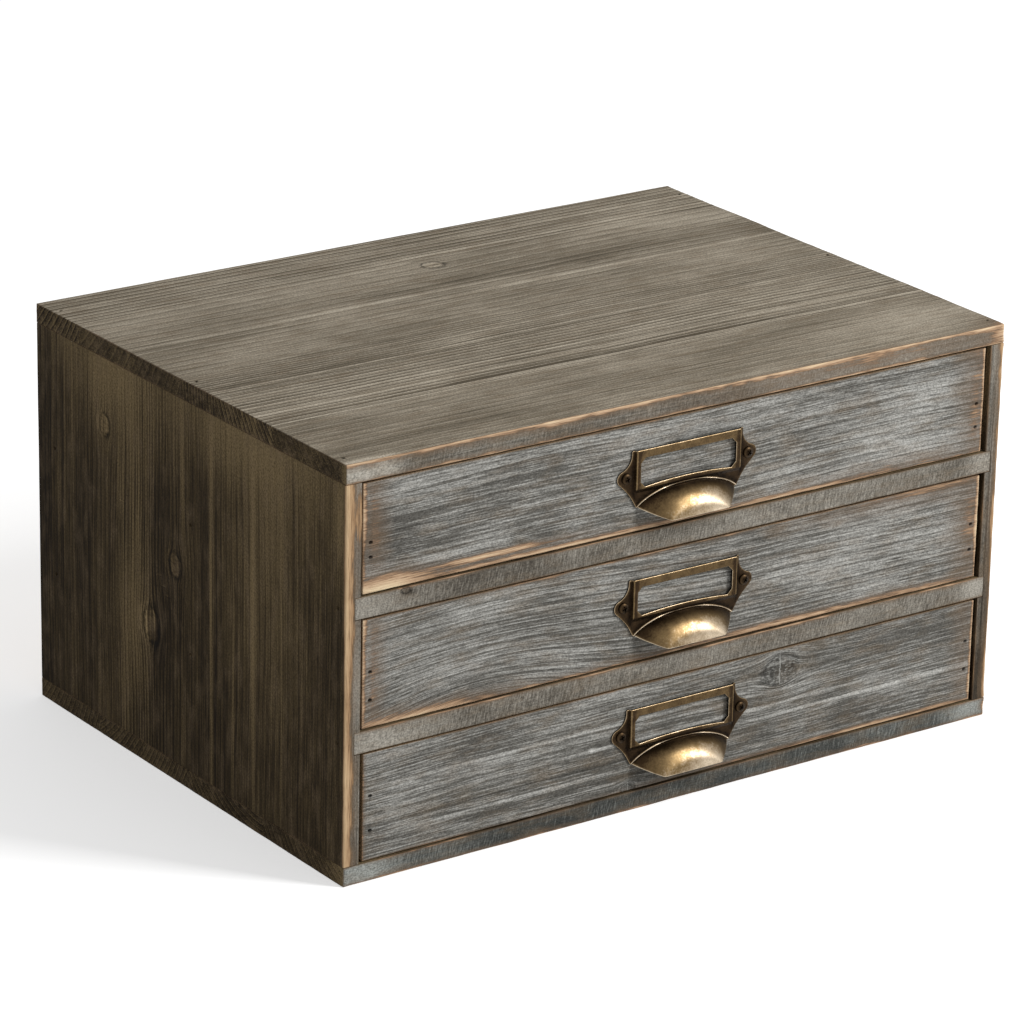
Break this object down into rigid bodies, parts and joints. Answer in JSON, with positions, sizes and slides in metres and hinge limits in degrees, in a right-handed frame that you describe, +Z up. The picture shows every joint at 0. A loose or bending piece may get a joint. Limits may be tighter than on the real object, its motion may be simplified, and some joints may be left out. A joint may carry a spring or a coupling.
{
  "type": "desktop drawer organizer",
  "caption": "Desktop chest of stacked shallow drawers in nailed rustic boards, each drawer sliding out by a brass cup pull with a label frame.",
  "frame": {"origin": "middle of the underside of the case, without the pulls, on the surface it stands on", "axes": "+X to the right seen from the front, along the width; +Y to the back; +Z up"},
  "size_m": [0.335, 0.2499, 0.18],
  "materials": {
    "stained_case_wood": "grey-brown stained softwood, sanded back to raw wood along the edges",
    "stained_drawer_front": "grey washed softwood with brushed grain",
    "plain_softwood": "planed, unfinished",
    "plywood": "thin, unfinished",
    "antique_brass": "stamped sheet with a dark patina, rubbed bright on the high places",
    "antiqued_screws": "darkened round-head screws",
    "steel_brads": "plain steel wire"
  },
  "bodies": {
    "case": {"top_board": "stained_case_wood", "bottom_board": "stained_case_wood", "left_side": "stained_case_wood", "right_side": "stained_case_wood", "upper_divider": "stained_case_wood", "lower_divider": "stained_case_wood", "back_panel": "plywood", "top_board_nails": "steel_brads", "bottom_board_nails": "steel_brads", "divider_nails": "steel_brads", "back_panel_nails": "steel_brads"},
    "top_drawer": {"top_drawer_front": "stained_drawer_front", "top_drawer_left_side": "plain_softwood", "top_drawer_right_side": "plain_softwood", "top_drawer_back": "plain_softwood", "top_drawer_bottom": "plywood", "top_drawer_front_nails": "steel_brads", "top_drawer_back_nails": "steel_brads", "top_drawer_bottom_nails": "steel_brads", "top_drawer_pull": "antique_brass", "top_drawer_pull_screws": "antiqued_screws"},
    "middle_drawer": {"middle_drawer_front": "stained_drawer_front", "middle_drawer_left_side": "plain_softwood", "middle_drawer_right_side": "plain_softwood", "middle_drawer_back": "plain_softwood", "middle_drawer_bottom": "plywood", "middle_drawer_front_nails": "steel_brads", "middle_drawer_back_nails": "steel_brads", "middle_drawer_bottom_nails": "steel_brads", "middle_drawer_pull": "antique_brass", "middle_drawer_pull_screws": "antiqued_screws"},
    "bottom_drawer": {"bottom_drawer_front": "stained_drawer_front", "bottom_drawer_left_side": "plain_softwood", "bottom_drawer_right_side": "plain_softwood", "bottom_drawer_back": "plain_softwood", "bottom_drawer_bottom": "plywood", "bottom_drawer_front_nails": "steel_brads", "bottom_drawer_back_nails": "steel_brads", "bottom_drawer_bottom_nails": "steel_brads", "bottom_drawer_pull": "antique_brass", "bottom_drawer_pull_screws": "antiqued_screws"}
  },
  "joints": [
    {"name": "top_drawer_slide", "type": "slide", "parent": "case", "child": "top_drawer", "axis": [0, -1, 0], "range_m": [0, 0.2]},
    {"name": "middle_drawer_slide", "type": "slide", "parent": "case", "child": "middle_drawer", "axis": [0, -1, 0], "range_m": [0, 0.2]},
    {"name": "bottom_drawer_slide", "type": "slide", "parent": "case", "child": "bottom_drawer", "axis": [0, -1, 0], "range_m": [0, 0.2]}
  ]
}
